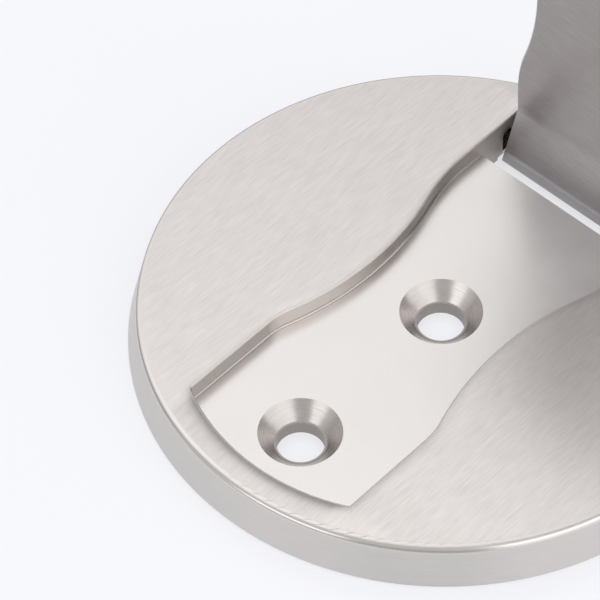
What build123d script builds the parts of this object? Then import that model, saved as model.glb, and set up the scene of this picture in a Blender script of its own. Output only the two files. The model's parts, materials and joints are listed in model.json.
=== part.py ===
from build123d import *
import math
import os

# Floor-mounted magnetic door stop: a low metal disc with a waisted recess, and a steel flap that
# folds into the recess on a hinge pin. The origin is the centre of the disc's underside, +Z is up,
# the recess runs along Y with its tip towards -Y and its hinge towards +Y. Millimetres.

# Base disc
base_diameter = 60.0
base_height = 5.0
rim_taper = 1.17  # the top edge lies this far inside the bottom edge
rim_edge_radius = 0.4
foot_chamfer = 0.25

# Recess for the folded flap
recess_depth = 1.95
tip_land = 2.63  # flat top left between the recess tip and the rim
tip_arc_radius = 22.0
hinge_land = 4.8  # flat top left between the rear wall and the rim
waist_width = 16.0
waist_y = -0.8
waist_radius = 32.0
tip_flare = 2.05  # each side of the tip is this much further out than the waist
tip_bend_radius = 7.0
hinge_flare = 2.4
hinge_bend_radius = 19.3
recess_corner_radius = 0.3
recess_lip_radius = 0.2
recess_floor_fillet = 0.2

# Two countersunk holes for the floor screws, one at the disc's centre
hole_diameter = 4.6
countersink_diameter = 8.0
countersink_angle = 86.0
countersink_ledge = 0.2  # flat ring between the cone and the hole
tip_hole_land = 6.6  # from the outer hole's axis to the recess tip

# Flap
flap_side_gap = 0.55
flap_floor_gap = 0.2
flap_edge_chamfer = 0.2
flap_corner_radius = 0.6
flap_lean = 2.5  # degrees that the raised flap leans forward of upright
stop_gap = 0.1  # between the raised flap's heel and the rear wall

# Flap's root, hinge pin and slot
pin_height = 2.6  # of the pin's axis above the floor
pin_diameter = 1.4
pin_clearance = 0.05
root_slope = 23.0  # degrees that the front of the flap's root leans out from the flap's face
root_bend_radius = 3.0
root_wall = 0.3  # between the pin's bore and that sloping front
toe_floor_gap = 0.1  # left above the floor as the root's toe swings under the pin
toe_turn = 25.0  # degrees of the toe's round underside
toe_edge_radius = 0.2
heel_rise = 0.3  # from the pin's axis up to the lower end of the flap's flat back
root_end_gap = 0.8
shoulder_gap = 0.35  # between the pin and the flap's side shoulders
slot_reach = 4.08  # from the pin axis forward to the end of the recess floor
channel_length = 2.6  # of the pin's seat in each side wall
pin_end_gap = 0.2
pin_chamfer = 0.2

# Keeper plate that closes the pin's channels from below, open around the flap's root, and its screws
keeper_thickness = 0.5
keeper_inset = 0.05
keeper_side_gap = 0.1
keeper_reach = 1.35  # from the pin axis forward to the plate's front edge
keeper_rim_wall = 1.5
keeper_end_margin = 0.6
keeper_slot_margin = 0.15
foot_thickness = 0.8
screw_diameter = 1.6
screw_head_diameter = 2.8
screw_length = 3.2
screw_clearance = 0.05
screw_tip_gap = 0.3
screw_edge = 1.85  # from the plate's round edge to a screw's axis
screw_spread = 12.0
driver_slot_width = 0.45
driver_slot_depth = 0.3

# Worked out from the sizes above
base_radius = base_diameter / 2
top_radius = base_radius - rim_taper
floor_z = base_height - recess_depth
tip_y = tip_land - top_radius
tip_arc_y = tip_y + tip_arc_radius
rear_wall_y = top_radius - hinge_land
hinge_half_width = waist_width / 2 + hinge_flare
tip_hole_y = tip_y + tip_hole_land
hole_radius = hole_diameter / 2

pin_radius = pin_diameter / 2
bore_radius = pin_radius + pin_clearance
toe_radius = pin_height - toe_floor_gap
lean = math.radians(flap_lean)
front_offset = floor_z + flap_floor_gap - pin_height  # from the pin's axis back to the flap's two faces
back_offset = base_height - pin_height
heel_reach = back_offset * math.cos(lean) - heel_rise * math.sin(lean)
pin_y = rear_wall_y - stop_gap - heel_reach
hinge_axis = Axis((0, pin_y, pin_height), (1, 0, 0))
slot_front_y = pin_y - slot_reach
channel_end_x = hinge_half_width + channel_length

keeper_top_z = keeper_inset + keeper_thickness
keeper_front_y = pin_y - keeper_reach
keeper_half_width = channel_end_x + keeper_end_margin
keeper_round_radius = base_radius - keeper_rim_wall
screw_radius = screw_diameter / 2
screw_y = math.sqrt((keeper_round_radius - screw_edge) ** 2 - (screw_spread / 2) ** 2)


def waisted_outline(inset, end_y):
    """Plan outline of the recess, or of the flap inside it when inset is the gap between them."""
    waist_half = waist_width / 2
    tip_half = waist_half + tip_flare
    hinge_half = waist_half + hinge_flare
    tip_angle = math.acos(1 - tip_flare / (waist_radius + tip_bend_radius))
    hinge_angle = math.acos(1 - hinge_flare / (waist_radius + hinge_bend_radius))
    tip_bend_y = waist_y - (waist_radius + tip_bend_radius) * math.sin(tip_angle)
    hinge_bend_y = waist_y + (waist_radius + hinge_bend_radius) * math.sin(hinge_angle)
    tip_radius = tip_arc_radius - inset
    corner_x = tip_half - inset
    corner_y = tip_arc_y - math.sqrt(tip_radius**2 - corner_x**2)
    tip_turn = math.degrees(tip_angle)
    hinge_turn = math.degrees(hinge_angle)
    corner_turn = math.degrees(math.asin(corner_x / tip_radius))
    with BuildSketch() as outline:
        with BuildLine():
            CenterArc((0, tip_arc_y), tip_radius, -90, corner_turn)
            Line((corner_x, corner_y), (corner_x, tip_bend_y))
            CenterArc((tip_half - tip_bend_radius, tip_bend_y), tip_bend_radius - inset, 0, tip_turn)
            CenterArc(
                (waist_half + waist_radius, waist_y),
                waist_radius + inset,
                180 + tip_turn,
                -tip_turn - hinge_turn,
            )
            CenterArc(
                (hinge_half - hinge_bend_radius, hinge_bend_y),
                hinge_bend_radius - inset,
                -hinge_turn,
                hinge_turn,
            )
            Line((hinge_half - inset, hinge_bend_y), (hinge_half - inset, end_y))
            Line((hinge_half - inset, end_y), (0, end_y))
            mirror(about=Plane.YZ)
        make_face()
    return outline.sketch


def upright_edges(solid):
    return solid.edges().filter_by(Axis.Z)


def keeper_plan(gap):
    """Outer plan of the keeper plate, straight in front and round behind, grown by gap on all sides."""
    length = keeper_round_radius - keeper_front_y + 2 * gap
    strip = Pos(0, keeper_front_y - gap + length / 2) * Rectangle(2 * (keeper_half_width + gap), length)
    return strip & Circle(keeper_round_radius + gap)


def pin_channel(side):
    """Seat of one end of the pin: an arched channel in the side wall, open to the underside."""
    arch = Pos(0, pin_y, pin_height) * Rot(0, 90, 0) * Cylinder(bore_radius, 2 * channel_end_x)
    shaft = Pos(0, pin_y, pin_height / 2) * Box(2 * channel_end_x, 2 * bore_radius, pin_height)
    inner = hinge_half_width / 2
    length = channel_end_x - inner
    half = Pos(side * (inner + length / 2), pin_y, base_height / 2)
    return (arch + shaft) & half * Box(length, 4 * bore_radius, 2 * base_height)


def floor_screw_hole():
    """Cutter for one floor screw, its top at the recess floor: a cone, a narrow ledge and the hole."""
    ledge_radius = hole_radius + countersink_ledge
    cone_top = countersink_diameter / 2
    cone_depth = (cone_top - ledge_radius) / math.tan(math.radians(countersink_angle / 2))
    cone = Pos(0, 0, -cone_depth / 2) * Cone(ledge_radius, cone_top, cone_depth)
    return cone + Pos(0, 0, -floor_z / 2) * Cylinder(hole_radius, 2 * floor_z)


def screw_place(side):
    return Pos(side * screw_spread / 2, screw_y, 0)


def make_base():
    disc = Pos(0, 0, base_height / 2) * Cone(base_radius, top_radius, base_height)

    recess = extrude(waisted_outline(0, rear_wall_y), base_height)
    recess = Pos(0, 0, floor_z) * fillet(upright_edges(recess).group_by(Axis.Y)[0], recess_corner_radius)
    recess = fillet(recess.faces().sort_by(Axis.Z)[0].edges(), recess_floor_fillet)
    slot_length = rear_wall_y - slot_front_y
    slot = Pos(0, slot_front_y + slot_length / 2, base_height / 2)
    disc -= [recess, slot * Box(2 * hinge_half_width, slot_length, 2 * base_height)]

    top = disc.faces().filter_by(Axis.Z).sort_by(Axis.Z)[-1]
    disc = fillet(top.inner_wires()[0].edges(), recess_lip_radius)
    top = disc.faces().filter_by(Axis.Z).sort_by(Axis.Z)[-1]
    disc = fillet(top.outer_wire().edges(), rim_edge_radius)
    foot = disc.edges().filter_by(GeomType.CIRCLE).group_by(Axis.Z)[0].sort_by(SortBy.RADIUS)[-1]
    disc = chamfer(foot, foot_chamfer)

    for hole_y in (0, tip_hole_y):
        disc -= Pos(0, hole_y, floor_z) * floor_screw_hole()
    for side in (-1, 1):
        disc -= pin_channel(side)
        tapped_depth = keeper_top_z + screw_length - keeper_thickness + screw_tip_gap
        tapped_hole = Cylinder(screw_radius + screw_clearance, 2 * tapped_depth)
        disc -= screw_place(side) * tapped_hole
    disc -= extrude(keeper_plan(keeper_side_gap), keeper_top_z)
    return disc


def root_section():
    """Section across the hinge of the flap's root, flap upright, with the pin's axis as its origin."""
    slope = math.radians(root_slope)
    front_reach = bore_radius + root_wall
    corner_z = (front_reach + front_offset * math.cos(slope)) / math.sin(slope)
    bend_y = front_offset - root_bend_radius
    bend_z = corner_z + root_bend_radius * math.tan(slope / 2)
    slope_top = (bend_y + root_bend_radius * math.cos(slope), bend_z - root_bend_radius * math.sin(slope))
    slope_length = math.sqrt(toe_radius**2 - front_reach**2)
    toe_y = -front_reach * math.cos(slope) - slope_length * math.sin(slope)
    toe_z = front_reach * math.sin(slope) - slope_length * math.cos(slope)
    toe_start = math.degrees(math.atan2(toe_z, toe_y))
    toe_end = math.radians(toe_start + toe_turn)
    with BuildSketch() as section:
        with BuildLine():
            CenterArc((bend_y, bend_z), root_bend_radius, 0, -root_slope)
            Line(slope_top, (toe_y, toe_z))
            CenterArc((0, 0), toe_radius, toe_start, toe_turn)
            Line((toe_radius * math.cos(toe_end), toe_radius * math.sin(toe_end)), (back_offset, heel_rise))
            Line((back_offset, heel_rise), (back_offset, bend_z))
            Line((back_offset, bend_z), (front_offset, bend_z))
        make_face()
        fillet(section.vertices().sort_by(Axis.X)[0], toe_edge_radius)
    return section.sketch


def make_flap():
    thickness = back_offset - front_offset
    shoulder_y = pin_y - pin_radius - shoulder_gap
    plate = extrude(waisted_outline(flap_side_gap, shoulder_y), thickness)
    plate = fillet(upright_edges(plate).group_by(Axis.Y)[0], flap_corner_radius)
    faces = plate.faces().sort_by(Axis.Z)
    rim = [edge for face in (faces[0], faces[-1]) for edge in face.edges().sort_by(Axis.Y)[:-1]]
    plate = Pos(0, 0, base_height - thickness) * chamfer(rim, flap_edge_chamfer)

    half_length = hinge_half_width - root_end_gap
    section_plane = Plane((-half_length, pin_y, pin_height), x_dir=(0, 1, 0), z_dir=(1, 0, 0))
    root = extrude(section_plane * root_section(), 2 * half_length)
    bore = Pos(0, pin_y, pin_height) * Rot(0, 90, 0) * Cylinder(bore_radius, 4 * half_length)
    upright = plate.rotate(hinge_axis, -90) + root - bore
    return upright.rotate(hinge_axis, flap_lean)


def make_pin():
    pin = Cylinder(pin_radius, 2 * (channel_end_x - pin_end_gap))
    pin = chamfer(pin.edges(), pin_chamfer)
    return Pos(0, pin_y, pin_height) * Rot(0, 90, 0) * pin


def make_keeper():
    notch_length = rear_wall_y + keeper_slot_margin - slot_front_y
    notch = Rectangle(2 * (hinge_half_width + keeper_slot_margin), notch_length)
    plan = keeper_plan(0) - Pos(0, slot_front_y + notch_length / 2) * notch
    plate = Pos(0, 0, keeper_inset) * extrude(plan, keeper_thickness)
    foot_top = pin_height - bore_radius
    foot_height = foot_top - keeper_inset
    for side in (-1, 1):
        foot_place = Pos(
            side * (hinge_half_width + channel_length / 2), pin_y, keeper_inset + foot_height / 2
        )
        plate += foot_place * Box(foot_thickness, pin_diameter, foot_height)
        head_hole = Cone(
            screw_head_diameter / 2 + screw_clearance,
            screw_radius + screw_clearance,
            keeper_thickness,
        )
        plate -= screw_place(side) * Pos(0, 0, keeper_inset + keeper_thickness / 2) * head_hole
    return plate


def make_screw():
    head = Pos(0, 0, keeper_thickness / 2) * Cone(screw_head_diameter / 2, screw_radius, keeper_thickness)
    shank = Pos(0, 0, screw_length / 2) * Cylinder(screw_radius, screw_length)
    driver_slot = Box(screw_head_diameter, driver_slot_width, 2 * driver_slot_depth)
    return Pos(0, 0, keeper_inset) * (head + shank - driver_slot)


screw = make_screw()
parts = {
    "base": make_base(),
    "flap": make_flap(),
    "hinge_pin": make_pin(),
    "keeper_plate": make_keeper(),
    "keeper_screws": Compound(children=[screw_place(side) * screw for side in (-1, 1)]),
}

os.makedirs("parts", exist_ok=True)
for name, shape in parts.items():
    export_step(shape, f"parts/{name}.step")
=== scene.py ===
"""Looks of a floor-mounted magnetic door stop: satin nickel metal, soft studio light, pale floor."""
import json
import math
from types import SimpleNamespace

import bpy
from mathutils import Matrix, Vector


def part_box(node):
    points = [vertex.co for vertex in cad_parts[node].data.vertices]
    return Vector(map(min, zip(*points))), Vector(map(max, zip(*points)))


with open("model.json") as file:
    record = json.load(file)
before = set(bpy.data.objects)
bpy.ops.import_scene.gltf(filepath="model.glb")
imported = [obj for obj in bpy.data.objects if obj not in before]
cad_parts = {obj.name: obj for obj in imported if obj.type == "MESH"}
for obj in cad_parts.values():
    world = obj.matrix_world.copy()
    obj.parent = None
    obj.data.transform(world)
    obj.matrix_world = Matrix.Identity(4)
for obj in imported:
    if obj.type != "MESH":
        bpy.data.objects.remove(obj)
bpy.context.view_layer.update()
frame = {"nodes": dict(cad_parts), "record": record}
hinge_y = frame["record"]["behaviour"]["joints"][0]["pos_m"][1]

# Camera, fitted to the photograph's view of the disc, the recess and the screw holes
CAMERA_AT = Vector((0.14908, -0.17277, 0.28323))
CAMERA_AIM = Vector((-0.012595, -0.006273, 0.0))
CAMERA_ROLL = math.radians(-1.29)
LENS_MM = 227.77
SENSOR_MM = 36.0
CLIP_NEAR = 0.01
CLIP_FAR = 20.0

# Studio: a grey room with large soft lights, each given by its middle's azimuth, its half width and
# its lowest and highest elevation in degrees, how far its edges fade, and its strength
ROOM_GREY = (0.35, 0.348, 0.35)
PANEL_TINT = (1.0, 0.99, 0.98)
ALL_ROUND = 180  # half width of a light that goes all round the room
ZENITH = 90
SOFTBOXES = {
    "overhead": dict(azimuth=0, half_width=ALL_ROUND, low=52, high=ZENITH, fade=20, strength=0.20),
    "front": dict(azimuth=-80, half_width=110, low=0, high=ZENITH, fade=40, strength=0.15),
    "back": dict(azimuth=150, half_width=38, low=53, high=ZENITH, fade=20, strength=0.86),
    "left": dict(azimuth=-98, half_width=14, low=24, high=44, fade=8, strength=1.15),
    "left_low": dict(azimuth=-126, half_width=12, low=16, high=32, fade=8, strength=0.25),
    "right": dict(azimuth=8, half_width=34, low=6, high=38, fade=10, strength=0.74),
    "right_high": dict(azimuth=5, half_width=26, low=46, high=66, fade=8, strength=1.10),
}
FLOOR_WHITE = (0.957, 0.965, 1.0)
FLOOR_GLOW = 0.69  # share of its own unlit colour in what the camera and the metal see of the floor
FLOOR_SHEEN = 0.25  # roughness of the floor's faint gloss
FLOOR_IOR = 1.33
FLOOR_HALF = 2.0
FLOOR_DROP = 2e-5  # metres that the floor lies under the disc, so that their faces don't coincide

# Metal colours; the recess walls', the bores' and the pin's are darkened as painted shade, and the recess
# floor's is lightened as painted light
NICKEL = (0.655, 0.625, 0.610)
# lighter than the top's nickel: painted light on the recess floor and its lip
NICKEL_FLOOR_PAINTED_LIGHT = (0.720, 0.702, 0.690)
NICKEL_RIM = (0.665, 0.640, 0.622)
NICKEL_CONE = (0.650, 0.616, 0.596)
# darker, warmer nickel: painted shade on the recess walls
NICKEL_WALL_PAINTED_SHADE = (0.550, 0.506, 0.480)
# nickel at about half brightness: painted shade inside the screw holes
BORE_PAINTED_SHADE = (0.36, 0.335, 0.315)
FLAP_NICKEL = (0.545, 0.530, 0.535)
# near black: painted shade on the pin where it shows in the gaps at the flap's ends
PIN_PAINTED_SHADE = (0.03, 0.03, 0.032)
KEEPER_STEEL = (0.50, 0.49, 0.48)
SCREW_ZINC = (0.58, 0.58, 0.59)

# Patterns of the finishes: how closely they lie, per metre, and the share each has in the colour
LINES_ACROSS = 4200.0
LINES_ALONG = 240.0
RIM_LINES_ALONG = 150.0
HAIRS_PER_LINE = 2.3
BRUSHED_CLOUDS = 260.0
BRUSHED_SHARES = dict(lines=0.25, hairs=0.6, clouds=0.15)
SATIN_GRAINS = 5000.0
SATIN_CLOUDS = 180.0
SATIN_SHARES = dict(grains=0.3, clouds=0.7)
TURNED_RINGS = 16000.0
TURNED_PATCHES = 700.0

# Values of those patterns at which the colour is darkest and lightest, and those between which the
# roughness changes, with the change that each finish makes
BRUSHED_SPREAD = (0.35, 0.65)
SATIN_SPREAD = (0.38, 0.62)
TURNED_SPREAD = (0.7, 1.3)
TURNED_SHADES = (0.93, 1.05)
ROUGH_SPREAD = (0.3, 0.7)
BRUSHED_ROUGHER = (0.025, -0.025)
SATIN_ROUGHER = (-0.03, 0.04)
TURNED_ROUGHER = (0.05, -0.05)

# Directions across the brushing lines
ALONG_X = (1, 0, 0)
ALONG_Z = (0, 0, 1)

# Fine relief of the finishes: strength, and depth in metres
BRUSHED_RELIEF = (0.2, 6e-6)
HAIR_RELIEF = 0.5  # the hairs' depth against the lines'
SATIN_RELIEF = (0.12, 4e-6)
TURNED_RELIEF = (0.2, 3e-6)

# Soft forms that polishing has left, in metres and as slopes
RIM_ROLL = 0.0010  # below the top, over which the rim is rolled
LIP_ROLL = 0.0020  # over which the top is rolled down towards the recess
LIP_SHARE = 0.28  # how far the rolled lip's slope follows a full round
LIP_SAMPLES = 8
TIP_TILT = 0.11  # slope down to the recess of the narrow land past its tip, at its inner edge
TIP_FADE = (0.7, 0.6)  # shares of the tip's distance between which that slope fades in
TOE_ROLL = 0.0014  # above the flap's toe, over which its root is rounded
TOE_TILT = 1.1  # slope of that round at the toe
RIM_POLISH = (1.2, 0.6, 0.5)  # rolls below the top where polish starts and is full, and roughness left
WALL_ROUGHER = (0.45, 0.8, 3.2)  # shares of the hinge's Y where it starts and is full, and times rougher

# Telling the base's faces apart
MM_PER_M = 1000
HAIR = 1e-5  # metres, for comparing places
WELD = HAIR / 20  # metres within which the mesh's seams are joined
TRUE_CORNER = math.radians(28)  # sharper bends between facets are shown as corners
EDGE_BAND = 0.0004  # metres below the top that the rounded edges of the rim and recess reach
LEVEL = 0.999  # least upward part of a level face's normal
DOWNWARD = -0.5  # most upward part of an underside face's normal
CONE_UPWARD = (0.2, 0.95)  # upward part of a countersink's normals
CONE_REACH = 2.0  # hole radii from a hole's axis that its countersink stays within
RIM_REACH = 0.95  # share of the disc's radius past which a face is on the rim
TOP_SHARE = 0.1  # share of the disc's height, under its top, that has no recess floor


def make_camera():
    data = bpy.data.cameras.new("camera")
    data.sensor_width = SENSOR_MM
    data.lens = LENS_MM
    data.clip_start = CLIP_NEAR
    data.clip_end = CLIP_FAR
    camera = bpy.data.objects.new("camera", data)
    bpy.context.scene.collection.objects.link(camera)
    aim = (CAMERA_AIM - CAMERA_AT).to_track_quat("-Z", "Y").to_matrix().to_4x4()
    camera.matrix_world = Matrix.Translation(CAMERA_AT) @ aim @ Matrix.Rotation(CAMERA_ROLL, 4, "Z")
    bpy.context.scene.camera = camera


def add(tree, kind, inputs=None, output=0, **settings):
    """Adds a node, fills its inputs with values or links, and gives back one of its outputs, if any."""
    node = tree.nodes.new(kind)
    for name, value in settings.items():
        setattr(node, name, value)
    for key, value in (inputs or {}).items():
        if isinstance(value, bpy.types.NodeSocket):
            tree.links.new(value, node.inputs[key])
        else:
            node.inputs[key].default_value = value
    return None if output is None else node.outputs[output]


def maths(tree, operation, *values):
    return add(tree, "ShaderNodeMath", dict(enumerate(values)), operation=operation)


def vector_maths(tree, operation, *values, output=0):
    return add(tree, "ShaderNodeVectorMath", dict(enumerate(values)), output, operation=operation)


def scaled(tree, vector, factor):
    return add(tree, "ShaderNodeVectorMath", {0: vector, "Scale": factor}, operation="SCALE")


def split(tree, vector):
    """The three outputs X, Y and Z of a vector."""
    return add(tree, "ShaderNodeSeparateXYZ", {"Vector": vector}).node.outputs


def to_world(tree, vector, kind="VECTOR"):
    """Turns a direction of the piece, or a normal of it, with the piece."""
    turn = dict(vector_type=kind, convert_from="OBJECT", convert_to="WORLD")
    return add(tree, "ShaderNodeVectorTransform", {"Vector": vector}, **turn)


def span(tree, value, low, high, to_low=0.0, to_high=1.0, smooth=False):
    """Carries a value's stretch from low to high over to another stretch, clamped at both ends."""
    inputs = {"Value": value, "From Min": low, "From Max": high, "To Min": to_low, "To Max": to_high}
    kind = "SMOOTHSTEP" if smooth else "LINEAR"
    return add(tree, "ShaderNodeMapRange", inputs, interpolation_type=kind)


def noise(tree, place, stretch, detail=2.0, roughness=0.55):
    inputs = {
        "Vector": vector_maths(tree, "MULTIPLY", place, stretch),
        "Scale": 1.0,
        "Detail": detail,
        "Roughness": roughness,
    }
    return add(tree, "ShaderNodeTexNoise", inputs, "Fac")


def mixed(tree, shares, **patterns):
    """Patterns added together, each by its share."""
    total = 0.0
    for name, pattern in patterns.items():
        total = maths(tree, "ADD", maths(tree, "MULTIPLY", pattern, shares[name]), total)
    return total


def tint(tree, shader, colour, darkest, lightest, share):
    """Colours a shader from darkest to lightest times a colour, as share runs from 0 to 1."""
    dark = (*[darkest * c for c in colour], 1.0)
    light = (*[lightest * c for c in colour], 1.0)
    shade = add(tree, "ShaderNodeMix", {"Factor": share, 6: dark, 7: light}, 2, data_type="RGBA")
    tree.links.new(shade, shader.inputs["Base Color"])


def uneven(tree, pattern, roughness, change):
    """Roughness that a pattern changes a little."""
    return span(tree, pattern, *ROUGH_SPREAD, roughness + change[0], roughness + change[1])


def bump(tree, shader, height, relief, form=None):
    """Fine relief on the surface, or on the form given as a normal."""
    strength, depth = relief
    inputs = {"Strength": strength, "Distance": depth, "Height": height}
    if form:
        inputs["Normal"] = form
    tree.links.new(add(tree, "ShaderNodeBump", inputs), shader.inputs["Normal"])


def spread_along(tree, shader, direction, amount):
    """Stretches the gloss along a direction of the piece, which lies across its brushing lines."""
    tree.links.new(to_world(tree, direction), shader.inputs["Tangent"])
    shader.inputs["Anisotropic"].default_value = amount


def metal(name, colour):
    """A new metal, its node tree, its shader and the place on the piece that its patterns follow."""
    material = bpy.data.materials.new(name)
    material.use_nodes = True
    tree = material.node_tree
    shader = tree.nodes["Principled BSDF"]
    shader.inputs["Base Color"].default_value = (*colour, 1.0)
    shader.inputs["Metallic"].default_value = 1.0
    place = add(tree, "ShaderNodeTexCoord", output="Object")
    return material, tree, shader, place


def brushed(name, colour, stretch, across, roughness, contrast, anisotropy=0.55, form=None, polish=None):
    """Metal with long fine lines: close together across them, slow along them. Polish gives the height
    where it starts to be smoother, the height from which it is fully so, and how rough it is left."""
    material, tree, shader, place = metal(name, colour)
    lines = noise(tree, place, stretch, detail=3.0)
    hairs = noise(tree, place, [HAIRS_PER_LINE * s for s in stretch], detail=1.0)
    clouds = noise(tree, place, [BRUSHED_CLOUDS] * 3, detail=3.0)
    pattern = mixed(tree, BRUSHED_SHARES, lines=lines, hairs=hairs, clouds=clouds)
    tint(tree, shader, colour, 1 - contrast, 1 + contrast, span(tree, pattern, *BRUSHED_SPREAD))
    rough = uneven(tree, lines, roughness, BRUSHED_ROUGHER)
    if polish:
        start, full, left = polish
        height = split(tree, place)["Z"]
        rough = maths(tree, "MULTIPLY", rough, span(tree, height, start, full, 1.0, left))
    tree.links.new(rough, shader.inputs["Roughness"])
    height = maths(tree, "ADD", lines, maths(tree, "MULTIPLY", hairs, HAIR_RELIEF))
    bump(tree, shader, height, BRUSHED_RELIEF, form and form(tree, place))
    spread_along(tree, shader, across, anisotropy)
    return material


def satin(name, colour, roughness, contrast=0.03, form=None, rougher=None):
    """Fine even matt metal, as bead-blasted before plating. Rougher gives the place along Y where it
    starts to be rougher, the place from which it is fully so, and how many times as rough it is there."""
    material, tree, shader, place = metal(name, colour)
    grains = noise(tree, place, [SATIN_GRAINS] * 3)
    clouds = noise(tree, place, [SATIN_CLOUDS] * 3, detail=3.0)
    pattern = mixed(tree, SATIN_SHARES, grains=grains, clouds=clouds)
    tint(tree, shader, colour, 1 - contrast, 1 + contrast, span(tree, pattern, *SATIN_SPREAD))
    rough = uneven(tree, clouds, roughness, SATIN_ROUGHER)
    if rougher:
        start, full, times = rougher
        along = split(tree, place)["Y"]
        rough = maths(tree, "MULTIPLY", rough, span(tree, along, start, full, 1.0, times))
    tree.links.new(rough, shader.inputs["Roughness"])
    bump(tree, shader, grains, SATIN_RELIEF, form and form(tree, place))
    return material


def turned(name, colour, axes, roughness, anisotropy):
    """Lathe-cut metal: fine rings round the nearer of two upright axes in line along Y."""
    material, tree, shader, place = metal(name, colour)
    (axis_x, near_y), (_, far_y) = axes
    middle_y = (near_y + far_y) / 2
    axis_y = span(tree, split(tree, place)["Y"], middle_y - HAIR, middle_y + HAIR, near_y, far_y)
    centre = add(tree, "ShaderNodeCombineXYZ", {"X": axis_x, "Y": axis_y})
    arm = vector_maths(tree, "MULTIPLY", vector_maths(tree, "SUBTRACT", place, centre), (1, 1, 0))
    reach = vector_maths(tree, "LENGTH", arm, output="Value")
    inputs = {"W": reach, "Scale": TURNED_RINGS, "Detail": 2.0}
    rings = add(tree, "ShaderNodeTexNoise", inputs, "Fac", noise_dimensions="1D")
    patches = noise(tree, place, [TURNED_PATCHES] * 3)
    share = span(tree, maths(tree, "ADD", rings, patches), *TURNED_SPREAD)
    tint(tree, shader, colour, *TURNED_SHADES, share)
    tree.links.new(uneven(tree, rings, roughness, TURNED_ROUGHER), shader.inputs["Roughness"])
    bump(tree, shader, rings, TURNED_RELIEF)
    spread_along(tree, shader, arm, anisotropy)
    return material


def rim_form(base):
    """A rim rounded about a level ring round the upright axis, down to its taper's own slope."""
    def form(tree, place):
        arm = vector_maths(tree, "MULTIPLY", place, (1, 1, 0))
        reach = vector_maths(tree, "LENGTH", arm, output="Value")
        past = maths(tree, "SUBTRACT", reach, base.top_reach)
        rise = maths(tree, "SUBTRACT", split(tree, place)["Z"], base.top_z - RIM_ROLL)
        rise = maths(tree, "MAXIMUM", rise, maths(tree, "MULTIPLY", past, base.rim_slope))
        outward = scaled(tree, vector_maths(tree, "NORMALIZE", arm), past)
        upward = add(tree, "ShaderNodeCombineXYZ", {"Z": rise})
        away = vector_maths(tree, "NORMALIZE", vector_maths(tree, "ADD", outward, upward))
        return to_world(tree, away, "NORMAL")
    return form


def lip_form(base):
    """A level top that rolls softly down at its inner edges and slopes a little past the recess."""
    flat_reach = base.top_reach - LIP_ROLL / 4

    def form(tree, place):
        arm = vector_maths(tree, "MULTIPLY", place, (1, 1, 0))
        reach = vector_maths(tree, "LENGTH", arm, output="Value")
        share = span(tree, reach, flat_reach - LIP_ROLL / 2, flat_reach, LIP_SHARE, 0.0)
        level = add(tree, "ShaderNodeNewGeometry", output="Normal")
        round_edge = add(tree, "ShaderNodeBevel", {"Radius": LIP_ROLL}, samples=LIP_SAMPLES)
        inputs = {"Factor": share, 4: level, 5: round_edge}
        rolled = add(tree, "ShaderNodeMix", inputs, 1, data_type="VECTOR")
        across = maths(tree, "ABSOLUTE", split(tree, place)["X"])
        side = span(tree, across, base.tip_half - LIP_ROLL / 2, base.tip_half, 1.0, 0.0)
        begin, end = [fade * base.tip_y for fade in TIP_FADE]
        near = span(tree, split(tree, place)["Y"], begin, end, 1.0, 0.0)
        tilt = span(tree, reach, -base.tip_y, flat_reach + LIP_ROLL, TIP_TILT, 0.0)
        tilt = maths(tree, "MULTIPLY", tilt, maths(tree, "MULTIPLY", side, near))
        slope = to_world(tree, add(tree, "ShaderNodeCombineXYZ", {"Y": tilt}))
        return vector_maths(tree, "NORMALIZE", vector_maths(tree, "ADD", rolled, slope))
    return form


def toe_form(toe_z):
    """A flap's root whose sloping front turns softly under towards its toe."""
    def form(tree, place):
        front = add(tree, "ShaderNodeNewGeometry", output="Normal")
        under = span(tree, split(tree, place)["Z"], toe_z + TOE_ROLL, toe_z, 0.0, -TOE_TILT, smooth=True)
        before_pin = maths(tree, "LESS_THAN", split(tree, place)["Y"], hinge_y)
        under = maths(tree, "MULTIPLY", under, before_pin)
        slope = to_world(tree, add(tree, "ShaderNodeCombineXYZ", {"Z": under}))
        return vector_maths(tree, "NORMALIZE", vector_maths(tree, "ADD", front, slope))
    return form


def seams_group():
    """Geometry nodes that join a CAD mesh along its seams and keep only its true corners sharp."""
    group = bpy.data.node_groups.new("joined_seams", "GeometryNodeTree")
    group.interface.new_socket("Geometry", in_out="INPUT", socket_type="NodeSocketGeometry")
    group.interface.new_socket("Geometry", in_out="OUTPUT", socket_type="NodeSocketGeometry")
    shape = group.nodes.new("NodeGroupInput").outputs[0]
    shape = add(group, "GeometryNodeRemoveAttribute", {"Geometry": shape, "Name": "custom_normal"})
    shape = add(group, "GeometryNodeMergeByDistance", {"Geometry": shape, "Distance": WELD})
    bend = add(group, "GeometryNodeInputMeshEdgeAngle", output="Unsigned Angle")
    gentle = add(group, "FunctionNodeCompare", {"A": bend, "B": TRUE_CORNER}, operation="LESS_THAN")
    for domain, smooth in (("FACE", True), ("EDGE", gentle)):
        inputs = {"Geometry": shape, "Shade Smooth": smooth}
        shape = add(group, "GeometryNodeSetShadeSmooth", inputs, domain=domain)
    group.links.new(shape, group.nodes.new("NodeGroupOutput").inputs[0])
    return group


def smooth_nodes():
    """Even shading on every CAD node: flat faces stay flat and rounded edges turn evenly."""
    group = seams_group()
    for node in frame["nodes"].values():
        node.modifiers.new("joined_seams", "NODES").node_group = group
        weighted = node.modifiers.new("flat_faces", "WEIGHTED_NORMAL")
        weighted.keep_sharp = True
        weighted.weight = 100


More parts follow.
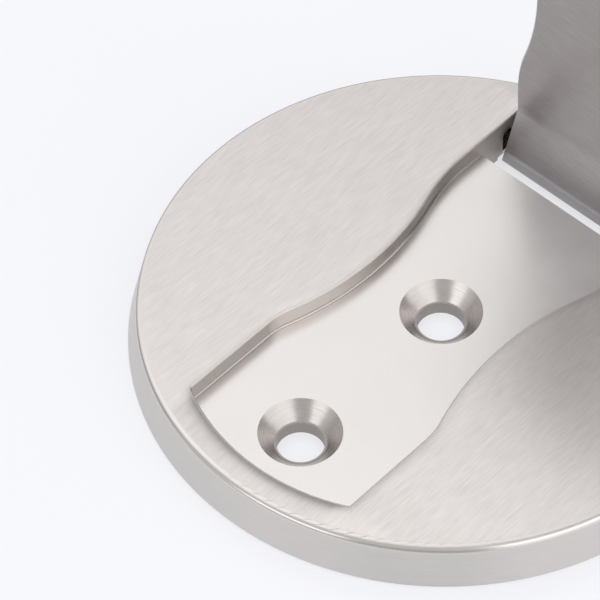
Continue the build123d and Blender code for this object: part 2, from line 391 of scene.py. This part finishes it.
def measure_base():
    """The base's main places and sizes in metres, from its mesh and the record's screw holes."""
    low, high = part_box("base")
    mesh = frame["nodes"]["base"].data
    base = SimpleNamespace(bottom_z=low[2], top_z=high[2])
    areas = {}
    for face in mesh.polygons:
        below_top = face.center.z < base.top_z - TOP_SHARE * (base.top_z - base.bottom_z)
        if face.normal.z > LEVEL and below_top:
            level = round(face.center.z, 6)
            areas[level] = areas.get(level, 0.0) + face.area
    base.floor_z = max(areas, key=areas.get)
    base.outer = max(math.hypot(v.co.x, v.co.y) for v in mesh.vertices)
    base.top_reach = max(math.hypot(v.co.x, v.co.y) for v in mesh.vertices if v.co.z > base.top_z - HAIR)
    base.rim_slope = (base.outer - base.top_reach - EDGE_BAND) / (base.top_z - base.bottom_z)

    floor_faces = [face for face in mesh.polygons if abs(face.center.z - base.floor_z) < HAIR]
    floor_points = [mesh.vertices[v].co for face in floor_faces for v in face.vertices]
    base.tip_y = min(point.y for point in floor_points)
    base.tip_half = max(point.x for point in floor_points if point.y < base.tip_y / 2)

    screws = next(m for m in frame["record"]["mounts"] if m["name"] == "floor_screws")
    hole_x, hole_y = screws["pos_m"][:2]
    half_pitch = screws["dims"]["spacing_y_mm"] / MM_PER_M / 2
    base.hole_axes = [(hole_x, hole_y - half_pitch), (hole_x, hole_y + half_pitch)]
    base.hole_radius = screws["dims"]["hole_r_mm"] / MM_PER_M
    return base


def base_finishes(base):
    """The base's materials, by the region that each covers."""
    start, full, left = RIM_POLISH
    rim_polish = (base.top_z - start * RIM_ROLL, base.top_z - full * RIM_ROLL, left)
    start, full, times = WALL_ROUGHER
    wall_rougher = (start * hinge_y, full * hinge_y, times)
    top_lines = (LINES_ACROSS, LINES_ALONG, LINES_ACROSS)
    rim_lines = (RIM_LINES_ALONG, RIM_LINES_ALONG, LINES_ACROSS)
    rolled_lip = lip_form(base)
    rounded_rim = rim_form(base)
    return {
        "top": brushed(
            "top_brushed",
            NICKEL,
            top_lines,
            ALONG_X,
            roughness=0.31,
            contrast=0.062,
            form=rolled_lip,
        ),
        # recess floor in lightened nickel: painted light
        "floor": satin("recess_satin", NICKEL_FLOOR_PAINTED_LIGHT, roughness=0.32),
        "cone": turned("countersink_turned", NICKEL_CONE, base.hole_axes, roughness=0.3, anisotropy=0.4),
        "rim": brushed(
            "rim_satin",
            NICKEL_RIM,
            rim_lines,
            ALONG_Z,
            roughness=0.38,
            contrast=0.02,
            anisotropy=0.6,
            form=rounded_rim,
            polish=rim_polish,
        ),
        "rim_edge": satin("rim_edge_polished", NICKEL, roughness=0.3, form=rounded_rim),
        # the lip takes the recess floor's lightened nickel: painted light
        "lip": satin("lip_polished", NICKEL_FLOOR_PAINTED_LIGHT, roughness=0.5),
        # recess walls in darker nickel: painted shade
        "wall": satin("wall_cast", NICKEL_WALL_PAINTED_SHADE, roughness=0.2, rougher=wall_rougher),
        "underside": satin("underside_cast", NICKEL, roughness=0.45, contrast=0.06),
        # screw-hole walls in much darker nickel: painted shade
        "bore": satin("bore_drilled", BORE_PAINTED_SHADE, roughness=0.45, contrast=0.08),
    }


def base_region(base, place, normal):
    """The region that a face of the base belongs to."""
    to_hole = min(math.hypot(place.x - x, place.y - y) for x, y in base.hole_axes)
    on_rim = math.hypot(place.x, place.y) > RIM_REACH * base.outer
    if normal.z < DOWNWARD or place.z < base.bottom_z + HAIR:
        return "underside"
    if normal.z > LEVEL and place.z > base.top_z - HAIR:
        return "top"
    if to_hole < CONE_REACH * base.hole_radius and place.z < base.floor_z - HAIR:
        return "cone" if CONE_UPWARD[0] < normal.z < CONE_UPWARD[1] else "bore"
    if normal.z > LEVEL and abs(place.z - base.floor_z) < HAIR:
        return "floor"
    if place.z > base.top_z - EDGE_BAND:
        return "rim_edge" if on_rim else "lip"
    return "rim" if on_rim else "wall"


def dress(node, *materials):
    """Gives a CAD node its materials."""
    mesh = frame["nodes"][node].data
    mesh.materials.clear()
    for material in materials:
        mesh.materials.append(material)


def dress_base():
    """Gives each of the base's faces the material of its region."""
    base = measure_base()
    finishes = base_finishes(base)
    regions = list(finishes)
    mesh = frame["nodes"]["base"].data
    dress("base", *finishes.values())
    for face in mesh.polygons:
        face.material_index = regions.index(base_region(base, face.center, face.normal))


def dress_hinge():
    """The flap and what holds it."""
    lines = (LINES_ALONG, LINES_ACROSS, LINES_ACROSS)
    toe = min((v.co for v in frame["nodes"]["flap"].data.vertices), key=lambda place: place.y)
    flap_finish = brushed(
        "flap_brushed",
        FLAP_NICKEL,
        lines,
        ALONG_Z,
        roughness=0.4,
        contrast=0.085,
        anisotropy=0.65,
        form=toe_form(toe.z),
    )
    dress("flap", flap_finish)
    # near-black pin: painted shade in the gaps at the flap's ends
    dress("hinge_pin", brushed("pin_ground", PIN_PAINTED_SHADE, lines, ALONG_X, roughness=0.25, contrast=0.05))
    dress("keeper_plate", satin("keeper_rolled", KEEPER_STEEL, roughness=0.38))
    dress("keeper_screws", satin("screw_zinc", SCREW_ZINC, roughness=0.3))


def floor_material():
    """Pale paint that shows at its own brightness, keeps the object's shadow, has a faint gloss and is
    clear from below."""
    material = bpy.data.materials.new("floor")
    material.use_nodes = True
    tree = material.node_tree
    tree.nodes.clear()
    paint = add(tree, "ShaderNodeBsdfDiffuse", {"Color": (*FLOOR_WHITE, 1.0)})
    glow = add(tree, "ShaderNodeEmission", {"Color": (*FLOOR_WHITE, 1.0), "Strength": 1.0})
    path = tree.nodes.new("ShaderNodeLightPath").outputs
    seen = maths(tree, "MAXIMUM", path["Is Camera Ray"], path["Is Glossy Ray"])
    seen = maths(tree, "MAXIMUM", seen, path["Is Transmission Ray"])
    share = maths(tree, "MULTIPLY", seen, FLOOR_GLOW)
    body = add(tree, "ShaderNodeMixShader", {0: share, 1: paint, 2: glow})
    gloss = add(tree, "ShaderNodeBsdfGlossy", {"Color": (1.0, 1.0, 1.0, 1.0), "Roughness": FLOOR_SHEEN})
    grazing = add(tree, "ShaderNodeFresnel", {"IOR": FLOOR_IOR})
    above = add(tree, "ShaderNodeMixShader", {0: grazing, 1: body, 2: gloss})
    from_below = add(tree, "ShaderNodeNewGeometry", output="Backfacing")
    clear = add(tree, "ShaderNodeBsdfTransparent")
    surface = add(tree, "ShaderNodeMixShader", {0: from_below, 1: above, 2: clear})
    add(tree, "ShaderNodeOutputMaterial", {"Surface": surface}, None)
    return material


def make_floor():
    mesh = bpy.data.meshes.new("floor")
    corners = [(-1, -1), (1, -1), (1, 1), (-1, 1)]
    points = [(FLOOR_HALF * x, FLOOR_HALF * y, -FLOOR_DROP) for x, y in corners]
    mesh.from_pydata(points, [], [(0, 1, 2, 3)])
    mesh.materials.append(floor_material())
    floor = bpy.data.objects.new("floor", mesh)
    bpy.context.scene.collection.objects.link(floor)


def softbox(tree, direction, azimuth, half_width, low, high, fade, strength):
    """Light that a soft panel sends from a direction: full inside its edges, fading out past them."""
    height = split(tree, direction)["Z"]
    gone, edge = [math.sin(math.radians(angle)) for angle in (low - fade, low)]
    light = span(tree, height, gone, edge, smooth=True)
    if half_width < ALL_ROUND:
        aim = (math.cos(math.radians(azimuth)), math.sin(math.radians(azimuth)), 0.0)
        flat = vector_maths(tree, "NORMALIZE", vector_maths(tree, "MULTIPLY", direction, (1, 1, 0)))
        toward = vector_maths(tree, "DOT_PRODUCT", flat, aim, output="Value")
        edge = math.cos(math.radians(half_width))
        gone = math.cos(math.radians(min(half_width + fade, ALL_ROUND)))
        light = maths(tree, "MULTIPLY", light, span(tree, toward, gone, edge, smooth=True))
    if high < ZENITH:
        edge, gone = [math.sin(math.radians(angle)) for angle in (high, min(high + fade, ZENITH))]
        light = maths(tree, "MULTIPLY", light, span(tree, height, edge, gone, 1.0, 0.0, smooth=True))
    return maths(tree, "MULTIPLY", light, strength)


def make_world():
    world = bpy.data.worlds.new("studio")
    bpy.context.scene.world = world
    world.use_nodes = True
    tree = world.node_tree
    direction = add(tree, "ShaderNodeTexCoord", output="Generated")
    light = 0.0
    for box in SOFTBOXES.values():
        light = maths(tree, "ADD", softbox(tree, direction, **box), light)
    colour = vector_maths(tree, "ADD", scaled(tree, PANEL_TINT, light), ROOM_GREY)
    tree.links.new(colour, tree.nodes["Background"].inputs["Color"])
    tree.nodes["Background"].inputs["Strength"].default_value = 1.0


make_camera()
make_floor()
make_world()
smooth_nodes()
dress_base()
dress_hinge()

bpy.context.scene.view_settings.view_transform = "Standard"
